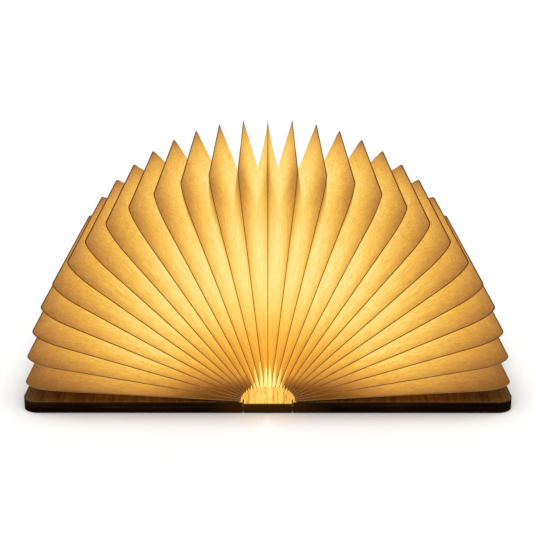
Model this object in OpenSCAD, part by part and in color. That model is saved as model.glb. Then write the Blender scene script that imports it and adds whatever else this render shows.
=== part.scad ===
// Folding book lamp, open flat. X runs across both covers, Y from the head edge
// to the tail edge, Z up from the table. The origin is on the table under the
// middle of the spine board. All lengths are in millimetres.

/* [Boards] */
// Height of the book, along the spine
book_h = 122; // [110:1:150]
// Width of each cover, from its hinge edge to its fore-edge
cover_w = 95; // [95:1:120]
// Thickness of each cover board
cover_t = 5; // [4.2:0.1:6]
// Radius of the outer corners of the covers
corner_r = 7; // [2:0.5:8]
// Width of the spine board
spine_w = 20.5; // [20:0.5:26]
// Thickness of the spine board
spine_t = 4.4; // [3.8:0.1:4.7]
// Thickness of the veneer on each face of a board
veneer_t = 0.6; // [0.4:0.1:0.6]
// Gap between the spine board and each cover
hinge_gap = 0.6; // [0.5:0.1:1]
// Bevel of the lower board edges along the hinge gaps
edge_bevel = 0.4; // [0.2:0.1:0.5]
// Thickness of the hinge cloth
cloth_t = 0.12; // [0.08:0.02:0.14]
// Lap of the hinge cloth on each cover
cloth_lap = 5; // [3:0.5:6]
// Distance from the hinge cloth's ends to the ends of the boards
cloth_end = 3.5; // [3:0.5:8]

/* [Pages] */
// Length of a page, from its root to its fore-edge
page_len = 93.6; // [88:0.2:94]
// Distance from the pages to the head and tail edges of the covers
page_margin = 0.6; // [0.4:0.1:3]
// Thickness of one paper leaf
leaf_t = 0.12; // [0.08:0.01:0.13]
// Width of the glued seam along a page's edge
seam_w = 0.5; // [0.4:0.1:3]
// Length of a page's rounded corner, along the page
page_corner_len = 14; // [8:0.5:18]
// Depth of a page's rounded corner, along the book's height
page_corner_depth = 9; // [6:0.5:12]
// Depth of a pleat at the fore-edge
pleat_depth_fore = 21; // [15:0.5:25]
// Depth of a pleat at the head and the tail
pleat_depth_head = 23; // [18:0.5:23]
// Radius of the corners of the inward folds
inner_corner_r = 2; // [1:0.5:8]
// Width of the arch that the page roots stand on
arch_w = 23.6; // [22:0.2:25]
// Rise of that arch above the covers
arch_h = 7.1; // [5:0.1:9]
// How far the roots crowd towards the covers, in degrees along the arch
root_crowding = 6; // [0:0.5:8]
// How far the pages half way down lean towards the middle page, in degrees
page_lean = 1; // [0:0.1:2]
// Width of the glue strips that hold the outermost leaves on the covers
glue_strip_w = 4; // [2:0.5:8]

/* [Light module] */
// Length of the light module
module_len = 72; // [70:1:73]
// Width of the light module
module_w = 17; // [16:0.5:18]
// Height of the module's tray
tray_h = 7.2; // [7:0.1:8]
// Wall thickness of the tray
tray_wall = 1; // [0.8:0.1:1.2]
// Height of the diffuser
diffuser_h = 3.8; // [3:0.1:5]
// Wall thickness of the diffuser
diffuser_wall = 1; // [0.8:0.1:1.2]
// Radius of the diffuser's upper edges
diffuser_r = 2; // [1:0.1:2.4]
// Distance from the module's head end to its front screw
screw_end = 5; // [4:0.5:6]
// Distance from the back screw to the wires
screw_to_wires = 7.5; // [5.5:0.5:8]
// Distance from the front screw to the battery
screw_to_battery = 5; // [3:0.5:6]
// Length of the battery
battery_len = 40; // [30:1:42]
// Width of the battery
battery_w = 13; // [10:0.5:13.5]
// Thickness of the battery
battery_t = 4.5; // [3:0.1:4.6]
// Thickness of the foam tape under the battery
tape_t = 0.5; // [0.3:0.1:0.5]
// Thickness of the LED board
led_board_t = 1; // [0.8:0.1:1.2]
// Width of the LED board
led_board_w = 14.5; // [12:0.5:14.5]
// Length of an LED chip
led_len = 3.5; // [3:0.1:4]
// Distance from the LED board's ends to the first and last chip
led_margin = 3.5; // [2:0.5:6]
// Width of an LED chip
led_w = 2.8; // [2:0.1:3]
// Height of an LED chip
led_h = 0.8; // [0.6:0.1:1]
// Radius of the module screws
screw_r = 0.9; // [0.8:0.05:1]
// Radius of the screw heads
screw_head_r = 1.7; // [1.5:0.1:2]
// Height of the screw heads
screw_head_h = 0.8; // [0.6:0.1:1.2]
// Depth of the screws in the spine board
screw_depth = 2.6; // [2:0.1:2.8]
// Radius of the lead wires
lead_r = 0.4; // [0.3:0.05:0.45]

/* [Charging] */
// Width of the charging board
board_w = 11; // [10.8:0.1:12]
// Thickness of the charging board
board_t = 0.8; // [0.6:0.1:0.9]
// Width of the USB socket
socket_w = 7.5; // [7:0.1:7.8]
// Height of the USB socket
socket_h = 2.45; // [2.2:0.05:2.5]
// Depth of the USB socket
socket_len = 5.5; // [5:0.1:7]
// Wall thickness of the USB socket
socket_wall = 0.3; // [0.2:0.05:0.35]
// Thickness of the board's end wall around the socket
end_wall = 2; // [1.6:0.1:3]
// Distance from the hall sensor to the slot's end
sensor_to_end = 11; // [8:0.5:14]
// Distance from the hall sensor to the charging chip
sensor_to_chip = 8; // [4:0.5:10]
// Radius of the indicator's light pipe
pipe_r = 0.55; // [0.4:0.05:0.6]

/* [Magnets] */
// Radius of the closing magnets
magnet_r = 4; // [3:0.5:5]
// Thickness of the closing magnets
magnet_t = 2; // [1.5:0.1:2.4]
// Distance from the closing magnets to the fore-edge
magnet_inset = 9; // [8:0.5:14]
// Distance from the closing magnets to the head and tail edges
magnet_end = 14; // [12:0.5:20]
// Radius of the magnet that works the hall sensor
sensor_magnet_r = 2; // [1.5:0.1:2.5]
// Thickness of the magnet that works the hall sensor
sensor_magnet_t = 1.5; // [1:0.1:2]

/* [Hidden] */
$fn = 48;
page_count = 27;
led_count = 10;

// A clearance between glued or inserted pieces
fit = 0.05;
// A clearance around the charging board and the wires
loose = 0.25;
// How far a cutting tool reaches past the face that it opens
past = 1;

cover_x = spine_w / 2 + hinge_gap;
core_top = cover_t - veneer_t;
spine_core_top = spine_t - veneer_t;
magnet_x = cover_x + cover_w - magnet_inset;
magnet_y = book_h / 2 - magnet_end;

// The pages fan out evenly, apart from their lean. Angles are measured from the
// left cover, over the top, to the right cover, so the middle page stands at 90
// degrees.
page_step = 180 / page_count;
page_half = book_h / 2 - page_margin;
seam_t = 2 * leaf_t;
inner_len = page_len - pleat_depth_fore;
inner_half = page_half - pleat_depth_head;
corner_steps = 5;
edge_steps = 4;
seam_corner_steps = 12;
leaf_gap = 0.02;

tray_z = spine_t;
tray_top = tray_z + tray_h;
floor_top = tray_z + tray_wall;
led_board_z = tray_top - led_board_t;
led_board_len = module_len - 2 * tray_wall - 2 * fit;
led_pitch = (led_board_len - 2 * led_margin - led_len) / (led_count - 1);
ledge_w = 1.5;
battery_z = floor_top + tape_t;
tape_inset = 2;

// The wires come up through a hole in the spine board and the tray's floor.
wire_hole_w = 6;
wire_hole_len = 3.5;
wire_y = module_len / 2 - tray_wall - ledge_w - loose - wire_hole_len / 2;
screw_y = [screw_end - module_len / 2, wire_y - screw_to_wires];
battery_front = screw_y[0] + screw_to_battery;
battery_lead_x = 2.4;
led_lead_x = 1;
lead_turn_z = floor_top + 2.1;

slot_w = board_w + 2 * loose;
slot_front = wire_y - wire_hole_len / 2 - loose;
slot_back = book_h / 2 - end_wall;
board_front = slot_front + loose;
board_back = slot_back - loose;
board_z = veneer_t + 0.2;
socket_z = veneer_t + fit;
socket_front = book_h / 2 - socket_len;
sensor_y = slot_back - sensor_to_end;
sensor_x = 3.5;
sensor_magnet_x = cover_x + 6;
pipe_x = (socket_w / 2 + slot_w / 2) / 2 + fit;
pipe_z = board_z + board_t + pipe_r;
indicator_size = [1.6, 0.8, 0.7];
chip_size = [4, 4, 1];
chip_y = sensor_y - sensor_to_chip;
sensor_size = [3, 1.6, 1];

function page_name(i) = str("page_", i < 10 ? "0" : "", i);
function page_angle(i) = (i - 0.5) * page_step;

// The root of a page or of an inward fold at an angle, on the arch
function root_angle(a) = a - root_crowding * sin(2 * a);
function root(a) = [
    -arch_w / 2 * cos(root_angle(a)),
    0,
    cover_t + arch_h * sin(root_angle(a))
];
// The way that the page or fold points there
function fan_angle(a) = a + page_lean * sin(2 * a);
function page_normal(a) = [sin(fan_angle(a)), 0, cos(fan_angle(a))];
function on_page(p, a) =
    root(a) + [-p[0] * cos(fan_angle(a)), p[1], p[0] * sin(fan_angle(a))];

// A page's edge as [distance from the root, height along the book]: up the
// head edge, round both corners and back down the tail edge
function corner_point(len, half, along, deep, t) =
    [len - along * (1 - sin(t)), half - deep * (1 - cos(t))];
function page_edge(len, half, along, deep, steps) = concat(
    [[0, -half]],
    [for (s = [0 : steps])
        let (p = corner_point(len, half, along, deep, 90 * s / steps)) [p[0], -p[1]]],
    [for (s = [steps : -1 : 0]) corner_point(len, half, along, deep, 90 * s / steps)],
    [[0, half]]
);

// The same edge for a leaf, with points along its straight lines as well,
// because a leaf twists between its crease and its fold
function leaf_edge(len, half, along, deep) = let (
    edge = page_edge(len, half, along, deep, corner_steps),
    last = len(edge) - 1,
    middle = last / 2 - 0.5
) [for (j = [0 : last]) each
    j == 0 || j == middle || j == last - 1
        ? [for (s = [0 : edge_steps - 1]) edge[j] + (edge[j + 1] - edge[j]) * s / edge_steps]
        : [edge[j]]];

// ---------------------------------------------------------------- boards

module cover_outline() {
    translate([cover_x, -book_h / 2]) square([cover_w - corner_r, book_h]);
    translate([cover_x, corner_r - book_h / 2]) square([cover_w, book_h - 2 * corner_r]);
    for (side = [-1, 1])
        translate([cover_x + cover_w - corner_r, side * (book_h / 2 - corner_r)])
            circle(corner_r);
}

module cover_layer(bottom, top) {
    translate([0, 0, bottom]) linear_extrude(top - bottom) cover_outline();
}

// A bevel along the lower edge of a board at x
module bevel_cut(x) {
    translate([x, 0, 0]) rotate([0, 45, 0])
        cube([edge_bevel * sqrt(2), book_h + 2 * past, edge_bevel * sqrt(2)], center = true);
}

module closing_magnets(r, bottom, height) {
    for (side = [-1, 1])
        translate([magnet_x, side * magnet_y, bottom]) cylinder(r = r, h = height);
}

module cover_core() {
    difference() {
        cover_layer(veneer_t, core_top);
        closing_magnets(magnet_r + fit, core_top - magnet_t, magnet_t + past);
    }
}

module sensor_magnet_at(r, height) {
    translate([-sensor_magnet_x, sensor_y, core_top - sensor_magnet_t])
        cylinder(r = r, h = height);
}

module cover_outer_veneer() {
    difference() {
        cover_layer(0, veneer_t);
        bevel_cut(cover_x);
    }
}

module left_cover_core() {
    color("#2a1a10") difference() {
        mirror([1, 0, 0]) cover_core();
        sensor_magnet_at(sensor_magnet_r + fit, sensor_magnet_t + past);
    }
}

module right_cover_core() {
    color("#2a1a10") cover_core();
}

module left_cover_inner_veneer() {
    color("#7a4f22") mirror([1, 0, 0]) cover_layer(core_top, cover_t);
}

module right_cover_inner_veneer() {
    color("#7a4f22") cover_layer(core_top, cover_t);
}

module left_cover_outer_veneer() {
    color("#3a2212") mirror([1, 0, 0]) cover_outer_veneer();
}

module right_cover_outer_veneer() {
    color("#3a2212") cover_outer_veneer();
}

module left_cover_magnets() {
    color("silver") mirror([1, 0, 0])
        closing_magnets(magnet_r, core_top - magnet_t, magnet_t);
}

module right_cover_magnets() {
    color("silver") closing_magnets(magnet_r, core_top - magnet_t, magnet_t);
}

module sensor_magnet() {
    color("silver") sensor_magnet_at(sensor_magnet_r, sensor_magnet_t);
}

module spine_layer(bottom, top) {
    translate([-spine_w / 2, -book_h / 2, bottom]) cube([spine_w, book_h, top - bottom]);
}

module screw_holes(r) {
    for (y = screw_y)
        translate([0, y, spine_t - screw_depth]) cylinder(r = r, h = screw_depth + past);
}

module wire_hole(bottom, top) {
    translate([-wire_hole_w / 2, wire_y - wire_hole_len / 2, bottom])
        cube([wire_hole_w, wire_hole_len, top - bottom]);
}

// The slot holds the charging board and opens at the tail edge for the socket.
module spine_core() {
    mouth_w = socket_w + 2 * fit;
    color("#2a1a10") difference() {
        spine_layer(veneer_t, spine_core_top);
        translate([-slot_w / 2, slot_front, veneer_t - past])
            cube([slot_w, slot_back - slot_front, spine_t]);
        translate([-mouth_w / 2, slot_back - past, veneer_t - past])
            cube([mouth_w, end_wall + 2 * past, spine_t]);
        translate([pipe_x, slot_back - past, pipe_z]) rotate([-90, 0, 0])
            cylinder(r = pipe_r + fit, h = end_wall + 2 * past);
        screw_holes(screw_r + fit);
    }
}

module spine_inner_veneer() {
    color("#c98a3a") difference() {
        spine_layer(spine_core_top, spine_t);
        wire_hole(spine_core_top - past, spine_t + past);
        screw_holes(screw_r + fit);
    }
}

module spine_outer_veneer() {
    color("#3a2212") difference() {
        spine_layer(0, veneer_t);
        bevel_cut(-spine_w / 2);
        bevel_cut(spine_w / 2);
    }
}

// The cloth lies on the inner faces of both boards, steps down at the gap and
// stops short of the light module.
module hinge_cloth() {
    cloth_len = book_h - 2 * cloth_end;
    inner_x = spine_w / 2;
    start_x = module_w / 2 + loose;
    color("#5a3a1c") translate([0, cloth_len / 2, 0]) rotate([90, 0, 0])
        linear_extrude(cloth_len) polygon([
            [start_x, spine_t],
            [inner_x, spine_t],
            [cover_x, cover_t],
            [cover_x + cloth_lap, cover_t],
            [cover_x + cloth_lap, cover_t + cloth_t],
            [cover_x, cover_t + cloth_t],
            [inner_x, spine_t + cloth_t],
            [start_x, spine_t + cloth_t]
        ]);
}

module left_hinge_cloth() {
    mirror([1, 0, 0]) hinge_cloth();
}

module right_hinge_cloth() {
    hinge_cloth();
}

// ----------------------------------------------------------------- pages

// A page is the seam where its two leaves are glued along head, fore-edge and tail.
module page(i) {
    a = page_angle(i);
    color("#8a5a20") translate(root(a)) rotate([0, fan_angle(a) - 180, 0])
        linear_extrude(seam_t, center = true) difference() {
            polygon(page_edge(
                page_len, page_half, page_corner_len, page_corner_depth, seam_corner_steps
            ));
            translate([-past, 0]) polygon(page_edge(
                page_len - seam_w + past, page_half - seam_w,
                page_corner_len - seam_w, page_corner_depth - seam_w, seam_corner_steps
            ));
        }
}

// One leaf reaches from the seam of page i to the inward fold on the given side.
// lift raises the fold, where a glue strip lies under it.
module leaf(i, side, lift = 0) {
    a = page_angle(i);
    b = a + side * page_step / 2;
    seam_in = seam_w + fit;
    outer = leaf_edge(
        page_len - seam_in, page_half - seam_in,
        page_corner_len - seam_in, page_corner_depth - seam_in
    );
    inner = leaf_edge(inner_len, inner_half, inner_corner_r, inner_corner_r);
    rings = len(outer);
    points = [for (j = [0 : rings - 1]) each [
        on_page(outer[j], a) + side * leaf_gap * page_normal(a),
        on_page(outer[j], a) + side * (leaf_gap + leaf_t) * page_normal(a),
        on_page(inner[j], b) - side * (leaf_gap + lift) * page_normal(b),
        on_page(inner[j], b) - side * (leaf_gap + lift + leaf_t) * page_normal(b)
    ]];
    // Both faces of a leaf are split from the crease to the next point of the fold.
    walls = [for (j = [0 : rings - 2], k = [0 : 3]) each
        let (
            p = 4 * j + k,
            q = 4 * j + (k + 1) % 4
        ) k < 3
            ? [[p, q, q + 4], [p, q + 4, p + 4]]
            : [[p, q, p + 4], [q, q + 4, p + 4]]];
    last = 4 * (rings - 1);
    ends = [[0, 3, 2], [0, 2, 1], [last, last + 1, last + 2], [last, last + 2, last + 3]];
    faces = concat(walls, ends);
    polyhedron(
        points,
        side > 0 ? faces : [for (f = faces) [f[2], f[1], f[0]]],
        convexity = 6
    );
}

module left_leaves() {
    middle = (page_count + 1) / 2;
    color("#f2b84a") {
        leaf(1, -1, cloth_t);
        for (i = [2 : middle]) leaf(i, -1);
        for (i = [1 : middle - 1]) leaf(i, 1);
    }
}

module right_leaves() {
    color("#f2b84a") mirror([1, 0, 0]) left_leaves();
}

// A flat strip under the fold of the outermost leaf, clear of the hinge cloth
module glue_strip() {
    start = cover_x + cloth_lap + loose - arch_w / 2;
    color("#e0b060") translate([arch_w / 2, 0, cover_t]) linear_extrude(cloth_t)
        intersection() {
            difference() {
                polygon(page_edge(
                    inner_len, inner_half, inner_corner_r, inner_corner_r, corner_steps
                ));
                translate([-past, 0]) polygon(page_edge(
                    inner_len - glue_strip_w + past, inner_half - glue_strip_w,
                    inner_corner_r, inner_corner_r, corner_steps
                ));
            }
            translate([start, -book_h / 2]) square([cover_w, book_h]);
        }
}

module left_glue_strip() {
    mirror([1, 0, 0]) glue_strip();
}

module right_glue_strip() {
    glue_strip();
}

// ---------------------------------------------------------- light module

module centred_block(size, bottom) {
    translate([-size[0] / 2, -size[1] / 2, bottom]) cube(size);
}

module module_tray() {
    inner = [module_w - 2 * tray_wall, module_len - 2 * tray_wall, tray_h];
    ledge_y = inner[1] / 2 - ledge_w;
    color("#e8e4da") difference() {
        union() {
            difference() {
                centred_block([module_w, module_len, tray_h], tray_z);
                centred_block(inner, floor_top);
            }
            for (side = [-1, 1])
                translate([-inner[0] / 2, side > 0 ? ledge_y : -ledge_y - ledge_w, floor_top])
                    cube([inner[0], ledge_w, led_board_z - floor_top]);
        }
        wire_hole(tray_z - past, floor_top + past);
        for (y = screw_y)
            translate([0, y, tray_z - past]) cylinder(r = screw_r + loose, h = tray_wall + 2 * past);
    }
}

module module_screws() {
    color("#b8b8b8") for (y = screw_y) {
        translate([0, y, spine_t - screw_depth])
            cylinder(r = screw_r, h = screw_depth + tray_wall);
        translate([0, y, floor_top]) cylinder(r = screw_head_r, h = screw_head_h);
    }
}

module battery_tape() {
    color("#f0f0f0")
        translate([tape_inset - battery_w / 2, battery_front + tape_inset, floor_top])
            cube([battery_w - 2 * tape_inset, battery_len - 2 * tape_inset, tape_t]);
}

module battery() {
    color("#9aa4ae") translate([-battery_w / 2, battery_front, battery_z])
        cube([battery_w, battery_len, battery_t]);
}

module led_board() {
    color("#f6f6f2")
        centred_block([led_board_w, led_board_len, led_board_t], led_board_z);
}

module led_chips() {
    color("#ffe08a") for (i = [0 : led_count - 1])
        translate([-led_w / 2, (i - (led_count - 1) / 2) * led_pitch - led_len / 2, tray_top])
            cube([led_w, led_len, led_h]);
}

// A rounded-top cross-section, w wide and h high, standing on the X axis
module rounded_top(w, h, r) {
    intersection() {
        translate([-w / 2, 0]) square([w, h]);
        union() {
            translate([-w / 2, 0]) square([w, h - r]);
            translate([r - w / 2, 0]) square([w - 2 * r, h]);
            for (side = [-1, 1]) translate([side * (w / 2 - r), h - r]) circle(r);
        }
    }
}

module rounded_bar(w, h, r, length) {
    translate([0, length / 2, tray_top]) rotate([90, 0, 0])
        linear_extrude(length) rounded_top(w, h, r);
}

module diffuser() {
    color("#fff4dc") difference() {
        rounded_bar(module_w, diffuser_h, diffuser_r, module_len);
        translate([0, 0, -past]) rounded_bar(
            module_w - 2 * diffuser_wall,
            diffuser_h - diffuser_wall + past,
            diffuser_r - diffuser_wall / 2,
            module_len - 2 * diffuser_wall
        );
    }
}

// -------------------------------------------------------------- charging

module charging_board() {
    notch_w = socket_w + 2 * fit;
    color("#1f6b3a") {
        difference() {
            translate([-board_w / 2, board_front, board_z])
                cube([board_w, board_back - board_front, board_t]);
            translate([-notch_w / 2, socket_front - fit, board_z - past])
                cube([notch_w, socket_len, board_t + 2 * past]);
        }
        translate([-chip_size[0] / 2, chip_y, board_z + board_t]) cube(chip_size);
    }
}

// A hollow metal shell with its contact tongue
module usb_socket() {
    inside_w = socket_w - 2 * socket_wall;
    inside_h = socket_h - 2 * socket_wall;
    tongue_t = inside_h / 3;
    color("#c8c8cc") {
        difference() {
            translate([-socket_w / 2, socket_front, socket_z])
                cube([socket_w, socket_len, socket_h]);
            translate([-inside_w / 2, socket_front + socket_wall, socket_z + socket_wall])
                cube([inside_w, socket_len, inside_h]);
        }
        translate([-inside_w / 4, socket_front, socket_z + socket_wall + tongue_t])
            cube([inside_w / 2, socket_len - 1, tongue_t]);
    }
}

module hall_sensor() {
    color("#202020") translate([-sensor_x, sensor_y, board_z + board_t + sensor_size[2] / 2])
        cube(sensor_size, center = true);
}

module charge_indicator() {
    color("#ff8040")
        translate([pipe_x - indicator_size[0] / 2, board_back - indicator_size[1], board_z + board_t])
            cube(indicator_size);
}

module light_pipe() {
    color("#fff8f0") translate([pipe_x, slot_back, pipe_z]) rotate([-90, 0, 0])
        cylinder(r = pipe_r, h = end_wall);
}

module riser(x, top) {
    bottom = board_z + board_t;
    translate([x, wire_y, bottom]) cylinder(r = lead_r, h = top - bottom);
}

module led_leads() {
    color("#c03020") for (side = [-1, 1]) riser(side * led_lead_x, led_board_z);
}

module battery_leads() {
    battery_end = battery_front + battery_len;
    color("#30302e") for (side = [-1, 1]) {
        riser(side * battery_lead_x, lead_turn_z);
        translate([side * battery_lead_x, wire_y, lead_turn_z]) {
            sphere(lead_r);
            rotate([90, 0, 0]) cylinder(r = lead_r, h = wire_y - battery_end);
        }
    }
}

// ------------------------------------------------------------------ nodes

spine_core();
spine_inner_veneer();
spine_outer_veneer();
left_hinge_cloth();
right_hinge_cloth();
left_cover_core();
left_cover_inner_veneer();
left_cover_outer_veneer();
right_cover_core();
right_cover_inner_veneer();
right_cover_outer_veneer();
left_cover_magnets();
right_cover_magnets();
sensor_magnet();
left_glue_strip();
right_glue_strip();
left_leaves();
right_leaves();
module_tray();
module_screws();
battery();
battery_tape();
led_board();
led_chips();
diffuser();
charging_board();
usb_socket();
hall_sensor();
charge_indicator();
light_pipe();
battery_leads();
led_leads();
for (i = [1 : page_count]) {
    page(i);
}
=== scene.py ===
import bpy
import math
import numpy as np
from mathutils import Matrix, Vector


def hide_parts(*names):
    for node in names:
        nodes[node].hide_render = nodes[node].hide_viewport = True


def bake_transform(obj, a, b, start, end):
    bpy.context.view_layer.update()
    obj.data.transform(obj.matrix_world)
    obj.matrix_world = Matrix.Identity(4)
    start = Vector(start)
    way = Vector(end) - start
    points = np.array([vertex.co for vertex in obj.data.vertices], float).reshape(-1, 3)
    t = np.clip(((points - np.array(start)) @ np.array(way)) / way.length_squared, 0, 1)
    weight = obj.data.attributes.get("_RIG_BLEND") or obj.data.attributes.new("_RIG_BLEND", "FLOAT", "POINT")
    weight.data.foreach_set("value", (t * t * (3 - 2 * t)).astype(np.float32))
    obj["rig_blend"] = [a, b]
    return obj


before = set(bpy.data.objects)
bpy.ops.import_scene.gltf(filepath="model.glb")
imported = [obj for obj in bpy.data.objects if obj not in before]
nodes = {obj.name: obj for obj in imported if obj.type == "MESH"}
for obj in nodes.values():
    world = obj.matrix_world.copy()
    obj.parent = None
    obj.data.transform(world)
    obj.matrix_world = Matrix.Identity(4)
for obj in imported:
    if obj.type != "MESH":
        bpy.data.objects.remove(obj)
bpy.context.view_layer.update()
mm = 0.001


class Signal:                                   # one shader socket, with arithmetic
    def __init__(self, tree, socket):
        self.tree = tree
        self.socket = socket

    def maths(self, operation, *values, clamp=False):
        return addNode(self.tree, "ShaderNodeMath", {"operation": operation, "use_clamp": clamp},
                       dict(enumerate(values)))

    def __add__(self, other):
        return self.maths("ADD", self, other)

    def __radd__(self, other):
        return self.maths("ADD", other, self)

    def __sub__(self, other):
        return self.maths("SUBTRACT", self, other)

    def __rsub__(self, other):
        return self.maths("SUBTRACT", other, self)

    def __mul__(self, other):
        return self.maths("MULTIPLY", self, other)

    def __rmul__(self, other):
        return self.maths("MULTIPLY", other, self)

    def __pow__(self, other):
        return self.maths("POWER", self, other)

    def clamped(self):
        return self.maths("ADD", self, 0, clamp=True)

    def size(self):
        return self.maths("ABSOLUTE", self)

    def positive(self):
        return self.maths("MAXIMUM", self, 0)

    def between(self, low, high):               # 0 at low, 1 at high, smooth in between
        return addNode(self.tree, "ShaderNodeMapRange", {"interpolation_type": "SMOOTHSTEP"},
                       {"Value": self, "From Min": low, "From Max": high})


def addNode(tree, kind, settings, values, output=0):
    node = tree.nodes.new(kind)
    for name, value in settings.items():
        if name == "stops":
            ramp = node.color_ramp
            while len(ramp.elements) < len(value):
                ramp.elements.new(0.5)
            for element, (place, shade) in zip(ramp.elements, value):
                element.position = place
                element.color = (*shade, 1)
        else:
            setattr(node, name, value)
    for name, value in values.items():
        if isinstance(value, Signal):
            tree.links.new(value.socket, node.inputs[name])
        else:
            node.inputs[name].default_value = value
    return Signal(tree, node.outputs[output])


# A finish is one Principled shader. Its surface sockets take numbers, colours or signals.
class Finish:
    def __init__(self, name):
        self.material = bpy.data.materials.new(name)
        self.material.use_nodes = True
        self.tree = self.material.node_tree
        self.shader = self.tree.nodes["Principled BSDF"]

    def node(self, kind, settings=None, values=None, output=0):
        return addNode(self.tree, kind, settings or {}, values or {}, output)

    def place(self):                            # the piece's own coordinates, in metres
        return self.node("ShaderNodeTexCoord", output="Object")

    def sheet(self):                            # along and across a sheet
        return self.node("ShaderNodeTexCoord", output="UV")

    def axes(self, vector, letters):            # one number for each letter
        return [self.node("ShaderNodeSeparateXYZ", {}, {0: vector}, output=letter) for letter in letters]

    def stretched(self, vector, scale, turn=0.0):
        return self.node("ShaderNodeMapping", {},
                         {"Vector": vector, "Scale": scale, "Rotation": (0, 0, turn)})

    def noise(self, vector, detail=2.0, roughness=0.5, distortion=0.0):
        return self.node("ShaderNodeTexNoise", {}, {"Vector": vector, "Scale": 1.0, "Detail": detail,
                                                    "Roughness": roughness, "Distortion": distortion})

    def painted(self, name):                    # a number stored on the piece's points
        return self.node("ShaderNodeAttribute", {"attribute_name": name}, {}, output="Fac")

    def ramp(self, value, *stops):
        return self.node("ShaderNodeValToRGB", {"stops": stops}, {0: value})

    def mixed(self, share, first, second, blend="MIX"):
        return self.node("ShaderNodeMix", {"data_type": "RGBA", "blend_type": blend},
                         {0: share, 6: first, 7: second}, output=2)

    def bump(self, height, depth, strength):
        return self.node("ShaderNodeBump", {}, {"Height": height, "Distance": depth, "Strength": strength})

    def set(self, **sockets):
        for name, value in sockets.items():
            socket = self.shader.inputs[name.replace("_", " ")]
            if isinstance(value, Signal):
                self.tree.links.new(value.socket, socket)
            else:
                socket.default_value = value
        return self.material


def colour(red, green, blue):
    return (red, green, blue, 1)


def dress(material, *names):
    for name in names:
        data = nodes[name].data
        data.materials.clear()
        data.materials.append(material)


# The lamp's measures, in millimetres and degrees, as on the drawing
lamp = {
    "pages": 27,
    "openWidth": 211.7,
    "coverWidth": 95,
    "spineWidth": 20.5,
    "bookHeight": 122,
    "coverCorner": 7,
    "coverTop": 5.0,
    "archWidth": 23.6,       # the roots of the pages stand on this arch
    "archRise": 7.1,
    "rootCrowding": 6,       # and crowd towards its middle
    "lean": 1.0,             # of the pages half way down, towards the middle one
}
page = {
    "length": 93.6,
    "half": 60.4,            # from the middle to the head or the tail
    "cornerLength": 14,
    "cornerDepth": 9,
    "seam": 0.5,
}
fold = {
    "length": 72.6,
    "half": 37.4,
    "cornerRadius": 1.2,
}
paper = {
    "thickness": 0.1,
    "tuck": 0.1,             # how far a leaf reaches into the seam
    "endLift": 0.24,         # the last leaf lies on its glue strip
    "acrossLeaf": 8,         # faces from crease to fold
    "alongHead": 26,         # faces from the root to the corner, round it, and along the fore-edge
    "roundCorner": 14,
    "alongFore": 20,
    "swell": 0.3,            # how far a leaf bows out between its crease and its fold
    "swellPower": 0.8,       # below 1 the bow lies nearer the crease
    "cornerSwell": 1.2,      # more at the corners, on the leaf that faces the middle page
    "backSwell": 0.15,       # and on the other leaf
    "cornerPower": 0.5,
    "cornerMiddle": 0.6,     # of the way round the corner
    "cornerReach": 11,       # in faces
    "steep": (45, 70),       # at the tail the leaves of steeper pages stay nearly flat
    "tailSwell": 0.05,
    "middlePinch": 0.5,      # the middle page is drawn in instead
    "rootReach": 6,          # in faces: no bow at the roots
    "lying": (-1, 6),        # in degrees: nor on the cover
    "smoothBelow": 5,
}
light = {
    "height": 13.5,
    "strength": 3.4,
    "belowShare": 0.165,     # what reaches the paper below the light
    "dimBelow": -0.28,       # as a slope over the light
    "fullAbove": 0.265,
    "rootShade": 0.73,
    "rootReach": 36,
    "rootPower": 3.15,
    "reach": 83,
    "fall": 5.8,
    "creaseShade": 0.46,
    "creasePower": 4,
    "cornerShade": 0.08,
    "tipShade": 0.22,        # at the tail corners of the pages
    "tipBehind": (36, 56),   # so far from the middle towards the tail, and so far outward
    "tipOutward": (60, 88),
    "brightest": 0.86,
    "tintReach": 32,         # the painted glow is tinted deeper close to the light
    "nearStrength": 5.0,     # the diffuser's ends shine through the roots of the middle folds
    "nearTop": 11.6,
    "nearFoot": 0.1,
    "nearRise": (0.87, 9.4), # what each millimetre outward and the way down to the fold count for
    "nearDepth": (1.05, 0.11),                  # how far down it is brightest, and less for each one aside
    "nearHalf": 5.74,
    "nearSoft": 1.2,
}
step = 180 / lamp["pages"]
edgeFaces = 2 * paper["alongHead"] + 2 * paper["roundCorner"] + paper["alongFore"]


def fanAngle(angle):                            # the angle that a page really stands at
    return angle + lamp["lean"] * np.sin(np.radians(2 * angle))


def rootPoint(angle):
    turned = np.radians(angle - lamp["rootCrowding"] * np.sin(np.radians(2 * angle)))
    return np.stack([-lamp["archWidth"] / 2 * np.cos(turned), 0 * turned,
                     lamp["coverTop"] + lamp["archRise"] * np.sin(turned)], -1)


def onPage(outward, height, angle):             # a point of a page that stands at an angle
    a = np.radians(fanAngle(angle))
    return rootPoint(angle) + np.stack([-outward * np.cos(a), height, outward * np.sin(a)], -1)


def fromRoot(share):                            # the share of the edge from the nearer root
    return np.minimum(share, 1 - share)


# The edge of a page or of a fold, from the root at the head round to the root at the tail.
# share runs from 0 to 1 and has the same corners on every edge.
def edgePoint(share, length, half, along, deep):
    head, corner, fore = paper["alongHead"], paper["roundCorner"], paper["alongFore"]
    s = fromRoot(share) * edgeFaces
    straight = np.clip(s / head, 0, 1)
    turn = np.clip((s - head) / corner, 0, 1) * math.pi / 2
    rest = np.clip((s - head - corner) / (fore / 2), 0, 1)
    outward = straight * (length - along) + along * np.sin(turn)
    height = (half - deep * (1 - np.cos(turn))) * (1 - rest)
    return outward, np.where(share < 0.5, -height, height)


def smooth(value, low, high):
    t = np.clip((value - low) / (high - low), 0, 1)
    return t * t * (3 - 2 * t)


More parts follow.
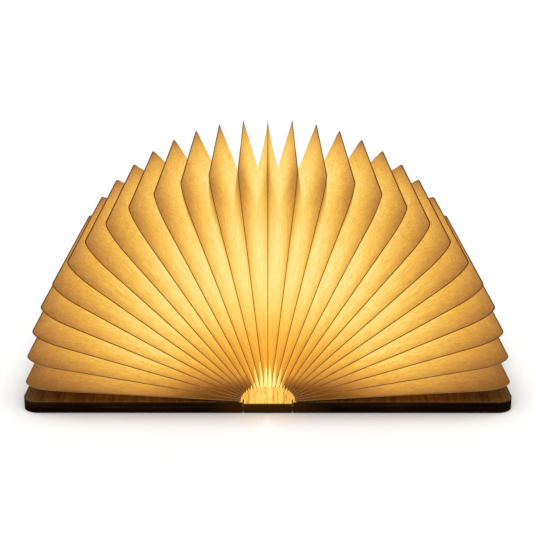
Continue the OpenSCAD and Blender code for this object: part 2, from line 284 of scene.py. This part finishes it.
def cornerness(share):                          # 1 at the middle of a page's corners, 0 away from them
    corner = (paper["alongHead"] + paper["roundCorner"] * paper["cornerMiddle"]) / edgeFaces
    return np.exp(-((fromRoot(share) - corner) * edgeFaces / paper["cornerReach"]) ** 2)


# How bright the diffuser's ends make a point near the root of its fold
def nearGlow(outward, down, foldAngle):
    aside = np.abs(rootPoint(foldAngle)[:, 0])
    perOutward, perDown = light["nearRise"]
    deepest = light["nearDepth"][0] - light["nearDepth"][1] * aside
    top = light["nearFoot"] + (1 - light["nearFoot"]) * np.minimum(down / deepest, 1)
    below = light["nearTop"] * top - (perOutward * outward + perDown * down)
    inside = light["nearHalf"] - aside
    both = smooth(below, 0, light["nearSoft"]) * smooth(inside, 0, light["nearSoft"])
    return both * light["nearStrength"]


# How bright a point of a leaf is, lit from inside
def glowAt(points, outward, down, share, foldAngle):
    over = points[:, 2] - light["height"]
    aside = np.hypot(points[:, 0], over)
    far = np.hypot(aside, points[:, 1])
    above = smooth(over / aside, light["dimBelow"], light["fullAbove"])
    above = light["belowShare"] + (1 - light["belowShare"]) * above
    root = 1 - light["rootShade"] * np.exp(-(outward / light["rootReach"]) ** light["rootPower"])
    reach = 1 / (1 + (far / light["reach"]) ** light["fall"])
    creaseShade = light["creaseShade"] + light["cornerShade"] * cornerness(share)
    crease = 1 - creaseShade * (1 - down) ** light["creasePower"]
    atTip = smooth(points[:, 1], *light["tipBehind"]) * smooth(outward, *light["tipOutward"])
    tip = 1 - light["tipShade"] * atTip
    dose = light["strength"] * above * root * reach * crease * tip + nearGlow(outward, down, foldAngle)
    return light["brightest"] * (1 - np.exp(-dose))


# How far a point of a leaf bows out
def bowAt(share, down, creaseAngle, foldAngle):
    arc = np.sin(np.pi * down ** paper["swellPower"])
    cornerArc = np.sin(np.pi * down ** paper["cornerPower"])
    cornerSwell = np.where(foldAngle > creaseAngle, paper["cornerSwell"], paper["backSwell"])
    flatTail = np.where(share > 0.5, smooth(creaseAngle, *paper["steep"]) * (1 - paper["tailSwell"]), 0)
    swell = (paper["swell"] * arc + cornerSwell * cornerness(share) * cornerArc) * (1 - flatTail)
    bow = np.where(np.isclose(creaseAngle, 90, atol=0.01), -paper["middlePinch"] * arc, swell)
    fromEnd = np.clip(fromRoot(share) * edgeFaces / paper["rootReach"], 0, 1)
    return bow * fromEnd * smooth(foldAngle, *paper["lying"])


def readNumbers(source, field, width):
    values = np.empty(len(source) * width, np.float32)
    source.foreach_get(field, values)
    return values.reshape(-1, width)


def writeNumbers(target, field, values):
    target.foreach_set(field, values.astype(np.float32).ravel())


# One pleated sheet. It goes up and down over the pages from one fan angle to another.
def pleatedSheet(name, first, last, flip, lift=0):
    leaves = round((last - first) / (step / 2))
    bpy.ops.object.select_all(action="DESELECT")
    bpy.ops.mesh.primitive_grid_add(x_subdivisions=edgeFaces,
                                    y_subdivisions=leaves * paper["acrossLeaf"], size=1)
    sheet = bpy.context.object
    sheet.name = name
    data = sheet.data
    flat = readNumbers(data.vertices, "co", 3) + 0.5
    share = np.clip(flat[:, 0], 0, 1)
    row = flat[:, 1] * leaves                   # counts leaves
    leaf = np.minimum(np.floor(row + 1e-5), leaves - 1)
    across = np.clip(row - leaf, 0, 1)
    start = first + leaf * step / 2             # the fan angles of the leaf's two edges
    end = start + step / 2
    startIsCrease = np.isclose(start / step % 1, 0.5, atol=0.01)
    down = np.where(startIsCrease, across, 1 - across)      # 0 at the crease, 1 at the fold
    creaseAngle = np.where(startIsCrease, start, end)
    foldAngle = np.where(startIsCrease, end, start)
    seam = page["seam"] - paper["tuck"]
    outerEdge = edgePoint(share, page["length"] - seam, page["half"] - seam,
                          page["cornerLength"] - seam, page["cornerDepth"] - seam)
    innerEdge = edgePoint(share, fold["length"], fold["half"], fold["cornerRadius"], fold["cornerRadius"])
    outer = onPage(*outerEdge, creaseAngle)
    inner = onPage(*innerEdge, foldAngle)
    a = np.radians(fanAngle(creaseAngle))
    normal = np.stack([np.sin(a), 0 * a, np.cos(a)], -1) * np.where(foldAngle > creaseAngle, 1, -1)[:, None]
    bow = bowAt(share, down, creaseAngle, foldAngle)
    points = outer + (inner - outer) * down[:, None] + normal * bow[:, None]
    points[:, 2] += lift * (foldAngle < 0.01) * down
    outward = outerEdge[0] + (innerEdge[0] - outerEdge[0]) * down
    fromLight = np.hypot(points[:, 0], points[:, 2] - light["height"])
    marks = {
        "glow": glowAt(points, outward, down, share, foldAngle),
        "fan": fanAngle(first + row * step / 2),
        "root": np.exp(-(fromLight / light["tintReach"]) ** 2),
    }
    points[:, 0] *= flip
    writeNumbers(data.vertices, "co", points * mm)
    for label, values in marks.items():
        writeNumbers(data.attributes.new(label, "FLOAT", "POINT").data, "value", values)
    layer = data.uv_layers.active.data          # fibres of one size on every sheet
    writeNumbers(layer, "uv", readNumbers(layer, "uv", 2) * (1, leaves / (lamp["pages"] - 1)))
    area = np.sum([face.area for face in data.polygons])
    thicken(sheet)
    return sheet, area


def thicken(sheet):
    bpy.ops.object.mode_set(mode="EDIT")
    bpy.ops.mesh.select_all(action="SELECT")
    bpy.ops.mesh.normals_make_consistent(inside=False)
    bpy.ops.object.mode_set(mode="OBJECT")
    solid = sheet.modifiers.new("Paper", "SOLIDIFY")
    solid.thickness = paper["thickness"] * mm
    solid.offset = 0
    bpy.ops.object.modifier_apply(modifier=solid.name)
    bpy.ops.object.shade_smooth_by_angle(angle=math.radians(paper["smoothBelow"]))


# The sheet turns with the pages: each point by its own fan angle
def foldWith(sheet, still, moving, least):
    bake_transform(sheet, still, moving, start=(0, 0, 0), end=(0, 0, 1))
    marks = sheet.data.attributes
    fan = readNumbers(marks["fan"].data, "value", 1)
    share = np.clip((90 - fan) / (90 - fanAngle(least)), 0, 1)
    writeNumbers(marks["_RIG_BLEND"].data, "value", share)


def paperFinish():
    look = {
        "size": (290, 594, 1),                  # the sheet's size in millimetres, for its fibres
        "unlit": colour(0.085, 0.046, 0.013),
        "clouds": 0.50, "cloudScale": (0.13, 0.34, 1), "cloudTurn": 0.5,
        "fibres": 0.72, "fibreScale": (0.24, 1.6, 1), "fibreTurn": 0.35,
        "specks": 0.60, "speckScale": (0.5, 2.4, 1),
        "tint": colour(1.12, 0.95, 0.50), "tinted": 0.9,
        "relief": 0.00004,
    }
    f = Finish("nonwovenPaper")
    flat = f.stretched(f.sheet(), look["size"])
    clouds = f.noise(f.stretched(flat, look["cloudScale"], look["cloudTurn"]), 4, 0.6, 0.5)
    fibres = f.noise(f.stretched(flat, look["fibreScale"], look["fibreTurn"]), 4, 0.7)
    specks = f.noise(f.stretched(flat, look["speckScale"], look["fibreTurn"]))
    texture = (clouds - 0.5) * look["clouds"] + (fibres - 0.5) * look["fibres"]
    texture = texture + (specks - 0.5) * look["specks"]
    level = (f.painted("glow") * (1 + texture)).clamped()
    tone = f.ramp(level,
                  (0.0, (0.03, 0.008, 0.001)),
                  (0.08, (0.16, 0.052, 0.005)),
                  (0.14, (0.225, 0.090, 0.016)),
                  (0.26, (0.430, 0.190, 0.040)),
                  (0.38, (0.615, 0.298, 0.053)),
                  (0.50, (0.780, 0.414, 0.067)),
                  (0.62, (0.895, 0.540, 0.105)),
                  (0.74, (0.920, 0.685, 0.193)),
                  (0.86, (0.940, 0.825, 0.333)),
                  (1.0, (1.0, 0.940, 0.600)))
    # painted light: the glow is tinted warmer close to the light
    deep = f.mixed(f.painted("root") * look["tinted"], colour(1, 1, 1), look["tint"])
    return f.set(Base_Color=look["unlit"], Roughness=0.9, Specular_IOR_Level=0.1,
                 Emission_Color=f.mixed(1.0, tone, deep, "MULTIPLY"), Emission_Strength=1.0,
                 Normal=f.bump(fibres, look["relief"], 0.5))


def seamFinish():
    look = {
        "high": (0.008, 0.040),                 # painted light: low pages' seams are painted pale, as lit from outside; high ones dark, their own colour with painted shade
        "pale": ((0.3, (0.19, 0.10, 0.040)), (0.7, (0.26, 0.145, 0.062))),
        "dark": ((0.3, (0.030, 0.011, 0.001)), (0.7, (0.058, 0.022, 0.003))),
        "paleGlow": colour(0.045, 0.016, 0.002),
        "darkGlow": colour(0.085, 0.028, 0.002),
        "grain": 400,
        "relief": 0.00003,
    }
    f = Finish("paperSeam")
    place = f.place()
    z, = f.axes(place, "Z")
    grain = f.noise(f.stretched(place, (look["grain"],) * 3), 3)
    # painted light and shade by height, and a painted glow on every seam
    high = z.between(*look["high"])
    return f.set(Base_Color=f.mixed(high, f.ramp(grain, *look["pale"]), f.ramp(grain, *look["dark"])),
                 Roughness=0.8, Specular_IOR_Level=0.1,
                 Emission_Color=f.mixed(high, look["paleGlow"], look["darkGlow"]), Emission_Strength=1.0,
                 Normal=f.bump(grain, look["relief"], 0.4))


veneer = {
    "grain": 420,
    "long": (1, 0.04, 1),                       # the grain runs along the book's height
    "pores": (4, 0.22, 4), "poreShare": 0.4,
    "cut": (0.00004, 0.00012),                  # the laser's dark cut at the very edge
    "cutTone": colour(0.014, 0.005, 0.001),
    "litRim": (0.0012, 0.0020),                    # and beside it a paler rim, a painted highlight along the edge
    "lit": (0.0114, 0.0126),                    # the spine's light ends here on the covers
    "spread": (0.38, 0.62),                     # of the grain, from the low tone to the high one
    "relief": 0.00005,
}


def grainOf(f, place, scale):
    long = f.noise(f.stretched(place, tuple(scale * n for n in veneer["long"])), 5, 0.62, 0.5)
    pores = f.noise(f.stretched(place, tuple(scale * n for n in veneer["pores"])), 3)
    return long * (1 - veneer["poreShare"]) + pores * veneer["poreShare"], pores


def toOutline(x, y):                            # how far a point lies inside the covers' rounded outline
    corner = lamp["coverCorner"] * mm
    aside = (x.size() - (lamp["openWidth"] / 2 * mm - corner)).positive()
    ahead = (y.size() - (lamp["bookHeight"] / 2 * mm - corner)).positive()
    return corner - (aside * aside + ahead * ahead) ** 0.5


def woodFinish(name, tones, litRimTones, scale=veneer["grain"], glowing=None):
    f = Finish(name)
    place = f.place()
    x, y = f.axes(place, "XY")
    grain, pores = grainOf(f, place, scale)
    face = f.ramp(grain, *zip(veneer["spread"], tones))
    litRim = f.ramp(grain, *zip(veneer["spread"], litRimTones))
    inside = toOutline(x, y)
    uncut = inside.between(*veneer["cut"])
    # painted highlight: the paler rim along the edge
    tone = f.mixed(uncut, veneer["cutTone"], f.mixed(inside.between(*veneer["litRim"]), litRim, face))
    if glowing:                                 # the light of the spine reaches the covers' inner edges
        dark = (x.size().between(*veneer["lit"]) + 1 - uncut).clamped()
        f.set(Emission_Color=f.mixed(dark, colour(*glowing), colour(0, 0, 0)), Emission_Strength=1.0)
    return f.set(Base_Color=tone, Roughness=0.6, Specular_IOR_Level=0.06,
                 Normal=f.bump(pores, veneer["relief"], 0.5))


def litWoodFinish():
    look = {
        "grain": 620,
        "blots": (300, 30, 300), "blotShare": 0.3,
        "tones": ((0.4, (0.14, 0.056, 0.010)), (0.6, (0.25, 0.12, 0.03))),
        "lit": ((0.42, (0.52, 0.22, 0.018)), (0.48, (0.70, 0.41, 0.0715)), (0.55, (0.88, 0.60, 0.125))),
        "cutTone": colour(0.05, 0.02, 0.004),
        "cutGlow": colour(0.012, 0.004, 0.0),
        "module": (0.0420, 0.0445),             # it is brightest beside the light module
        "brightest": colour(0.95, 0.74, 0.24),
    }
    f = Finish("walnutSpine")
    place = f.place()
    y, = f.axes(place, "Y")
    grain, pores = grainOf(f, place, look["grain"])
    blots = f.noise(f.stretched(place, look["blots"]), 3)
    grain = grain * (1 - look["blotShare"]) + blots * look["blotShare"]
    end = lamp["bookHeight"] / 2 * mm
    cut = 1 - (end - y.size()).between(*veneer["cut"])
    lit = f.mixed(y.size().between(*look["module"]), look["brightest"], f.ramp(grain, *look["lit"]))
    return f.set(Base_Color=f.mixed(cut, f.ramp(grain, *look["tones"]), look["cutTone"]),
                 Roughness=0.5, Specular_IOR_Level=0.25,
                 Emission_Color=f.mixed(cut, lit, look["cutGlow"]), Emission_Strength=1.0,
                 Normal=f.bump(pores, veneer["relief"], 0.5))


def boardEdgeFinish():
    look = {
        "layers": (14, 14, 700), "layerShare": 0.65,
        "fibres": (80, 80, 2400),
        "tones": ((0.40, (0.0038, 0.0011, 0.0002)), (0.52, (0.0095, 0.0031, 0.0006)),
                  (0.62, (0.028, 0.0115, 0.0038))),
        # painted shade: the edge is darker at its foot, beside the table
        "footShadeTone": colour(0.0021, 0.0007, 0.0002), "footShadeHeight": (0, 0.0028),
        "middleTone": colour(0.060, 0.019, 0.0025), "middle": (0.006, 0.030), "middleShare": 0.6,
        "gapGlow": colour(0.62, 0.29, 0.055),   # the light falls into the gaps at the spine
        "gapHalf": (0.00032, 0.00036), "gapHeight": (0.0020, 0.0044),
        "relief": 0.00006,
    }
    f = Finish("charredBoardEdge")
    place = f.place()
    x, z = f.axes(place, "XZ")
    layers = f.noise(f.stretched(place, look["layers"]), 3, 0.6)
    fibres = f.noise(f.stretched(place, look["fibres"]), 3)
    grain = layers * look["layerShare"] + fibres * (1 - look["layerShare"])
    # painted shade darkens the edge towards the table
    tone = f.mixed(z.between(*look["footShadeHeight"]), look["footShadeTone"], f.ramp(grain, *look["tones"]))
    middle = (1 - x.size().between(*look["middle"])) * look["middleShare"]
    gap = (lamp["openWidth"] / 2 - lamp["coverWidth"] + lamp["spineWidth"] / 2) / 2 * mm
    inGap = (1 - (x.size() - gap).size().between(*look["gapHalf"])) * z.between(*look["gapHeight"])
    return f.set(Base_Color=f.mixed(middle, tone, look["middleTone"]), Roughness=0.8,
                 Specular_IOR_Level=0.01,
                 Emission_Color=f.mixed(inGap, colour(0, 0, 0), look["gapGlow"]), Emission_Strength=1.0,
                 Normal=f.bump(fibres, look["relief"], 0.6))


def plainFinish(name, base, rough, metal=0.0, grain=300, glowing=None):
    look = {"spread": (0.35, 0.65), "low": 0.86, "dim": 0.93, "relief": 0.00002}
    f = Finish(name)
    specks = f.noise(f.stretched(f.place(), (grain,) * 3), 3)

    def speckled(low, high):
        return f.ramp(specks, *zip(look["spread"], (tuple(c * low for c in high), high)))

    f.set(Base_Color=speckled(look["low"], base), Roughness=rough, Metallic=metal,
          Normal=f.bump(specks, look["relief"], 0.3))
    if glowing:
        f.set(Emission_Color=speckled(look["dim"], glowing), Emission_Strength=1.0)
    return f.material


def dressFrame():
    everyPage = [f"page_{i:02d}" for i in range(1, lamp["pages"] + 1)]
    dress(seamFinish(), *everyPage)
    dress(boardEdgeFinish(), "spine_core", "left_cover_core", "right_cover_core")
    dress(woodFinish("walnutInside", ((0.056, 0.020, 0.001), (0.19, 0.088, 0.007)),
                     ((0.085, 0.038, 0.010), (0.16, 0.075, 0.024)), 640, (0.85, 0.42, 0.07)),
          "left_cover_inner_veneer", "right_cover_inner_veneer")
    dress(litWoodFinish(), "spine_inner_veneer")
    dress(woodFinish("walnutOutside", ((0.021, 0.008, 0.003), (0.070, 0.032, 0.011)),
                     ((0.028, 0.011, 0.004), (0.090, 0.042, 0.015))),
          "spine_outer_veneer", "left_cover_outer_veneer", "right_cover_outer_veneer")
    # painted light: the hinge cloth glows with the light of the module beside it
    dress(plainFinish("hingeCloth", (0.40, 0.20, 0.06), 0.9, grain=900, glowing=(0.80, 0.42, 0.07)),
          "left_hinge_cloth", "right_hinge_cloth")
    dress(plainFinish("glueStripPaper", (0.60, 0.42, 0.18), 0.9, grain=500),
          "left_glue_strip", "right_glue_strip")
    dress(plainFinish("magnetNickel", (0.70, 0.68, 0.64), 0.25, 1.0),
          "left_cover_magnets", "right_cover_magnets", "sensor_magnet")
    dress(plainFinish("opalPlastic", (0.60, 0.54, 0.40), 0.4, glowing=(0.90, 0.83, 0.38)),
          "diffuser", "module_tray")
    dress(plainFinish("zincScrews", (0.62, 0.62, 0.64), 0.35, 1.0), "module_screws")
    dress(plainFinish("batteryFoil", (0.55, 0.58, 0.62), 0.35, 1.0), "battery")
    dress(plainFinish("foamTape", (0.85, 0.85, 0.83), 0.9), "battery_tape")
    dress(plainFinish("whiteBoard", (0.88, 0.88, 0.85), 0.5), "led_board")
    dress(plainFinish("ledPhosphor", (1.0, 0.80, 0.35), 0.3, glowing=(1.0, 0.95, 0.75)), "led_chips")
    dress(plainFinish("greenBoard", (0.03, 0.17, 0.07), 0.4), "charging_board")
    dress(plainFinish("socketSteel", (0.60, 0.60, 0.62), 0.3, 1.0), "usb_socket")
    dress(plainFinish("sensorBlack", (0.02, 0.02, 0.02), 0.5), "hall_sensor")
    dress(plainFinish("indicatorLens", (0.9, 0.35, 0.12), 0.3), "charge_indicator")
    dress(plainFinish("clearPipe", (0.85, 0.84, 0.80), 0.15), "light_pipe")
    dress(plainFinish("blackWire", (0.03, 0.03, 0.03), 0.5), "battery_leads")
    dress(plainFinish("redWire", (0.45, 0.03, 0.02), 0.5), "led_leads")
    print("the frame is dressed")


def makeBellows():
    finish = paperFinish()
    for word, flip, lowest in (("left", 1, "page_01"), ("right", -1, "page_27")):
        bellows, area = pleatedSheet(word + "Bellows", step / 2, 90, flip)
        bellows.data.materials.append(finish)
        foldWith(bellows, "middle_page", lowest, step / 2)
        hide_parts(word + "_leaves")
        end, endArea = pleatedSheet(word + "EndLeaf", 0, step / 2, flip, lift=paper["endLift"])
        end.data.materials.append(finish)
        foldWith(end, "spine", word + "_cover", 0)
        print(word, "bellows: paper of", round(area * 1e4), "square centimetres")


def tableFinish():
    look = {
        "pale": 0.32, "own": 0.75,
        "reach": 0.030, "contact": 2.9,         # of the lamp's shadow
        "shadow": ((0.0, (1, 1, 1)), (0.4, (0.63, 0.60, 0.555)), (1.0, (0.025, 0.015, 0.006))),
        "warmth": colour(1.04, 0.93, 0.80),     # of the light that falls out at the spine's ends
        "warmAside": (0.004, 0.024), "warmAhead": (0.062, 0.079), "warmLift": 0.22,
    }
    f = Finish("paleTable")
    x, y = f.axes(f.place(), "XY")
    warm = (1 - x.size().between(*look["warmAside"])) * (1 - y.size().between(*look["warmAhead"]))
    thinner = 1 - warm * x.size().between(0, look["warmAside"][0]) * look["warmLift"]
    free = f.node("ShaderNodeAmbientOcclusion", {"samples": 16}, {"Distance": look["reach"]}, output="AO")
    near = ((1 - free) * (1 - free) * thinner * look["contact"]).clamped()
    own = f.ramp(near, *look["shadow"])
    own = f.mixed(warm, own, f.mixed(1.0, own, look["warmth"], "MULTIPLY"))
    return f.set(Base_Color=colour(*(look["pale"],) * 3), Roughness=0.9, Specular_IOR_Level=0.0,
                 Emission_Color=own, Emission_Strength=look["own"])


def setStage():
    bpy.ops.object.select_all(action="DESELECT")
    bpy.ops.mesh.primitive_plane_add(size=12)
    top = bpy.context.object
    top.name = "paleTable"
    top.data.materials.append(tableFinish())

    world = bpy.data.worlds.new("studio")
    bpy.context.scene.world = world
    world.use_nodes = True
    back = world.node_tree.nodes["Background"]
    back.inputs["Color"].default_value = colour(1, 1, 1)
    back.inputs["Strength"].default_value = 1.0

    glow = {"fromMiddle": 0.0395, "height": 0.0095, "power": 0.0015, "radius": 0.0015,
            "tint": (1.0, 0.72, 0.30)}
    for name, end in (("headGlow", -1), ("tailGlow", 1)):
        data = bpy.data.lights.new(name, "POINT")
        data.energy = glow["power"]
        data.color = glow["tint"]
        data.shadow_soft_size = glow["radius"]
        bulb = bpy.data.objects.new(name, data)
        bulb.location = (0, end * glow["fromMiddle"], glow["height"])
        bpy.context.scene.collection.objects.link(bulb)

    view = {"focal": 77.37, "sensor": 36, "place": (-0.00015, -0.5091, 0.2145),
            "down": 18.292, "aside": 0.053, "nearest": 0.01}
    data = bpy.data.cameras.new("view")
    data.lens = view["focal"]
    data.sensor_width = view["sensor"]
    data.sensor_fit = "HORIZONTAL"
    data.clip_start = view["nearest"]
    camera = bpy.data.objects.new("view", data)
    camera.location = view["place"]
    camera.rotation_euler = (math.radians(90 - view["down"]), 0, math.radians(view["aside"]))
    bpy.context.scene.collection.objects.link(camera)
    bpy.context.scene.camera = camera
    bpy.context.scene.view_settings.view_transform = "Standard"
    print("the stage is set")


dressFrame()
makeBellows()
setStage()
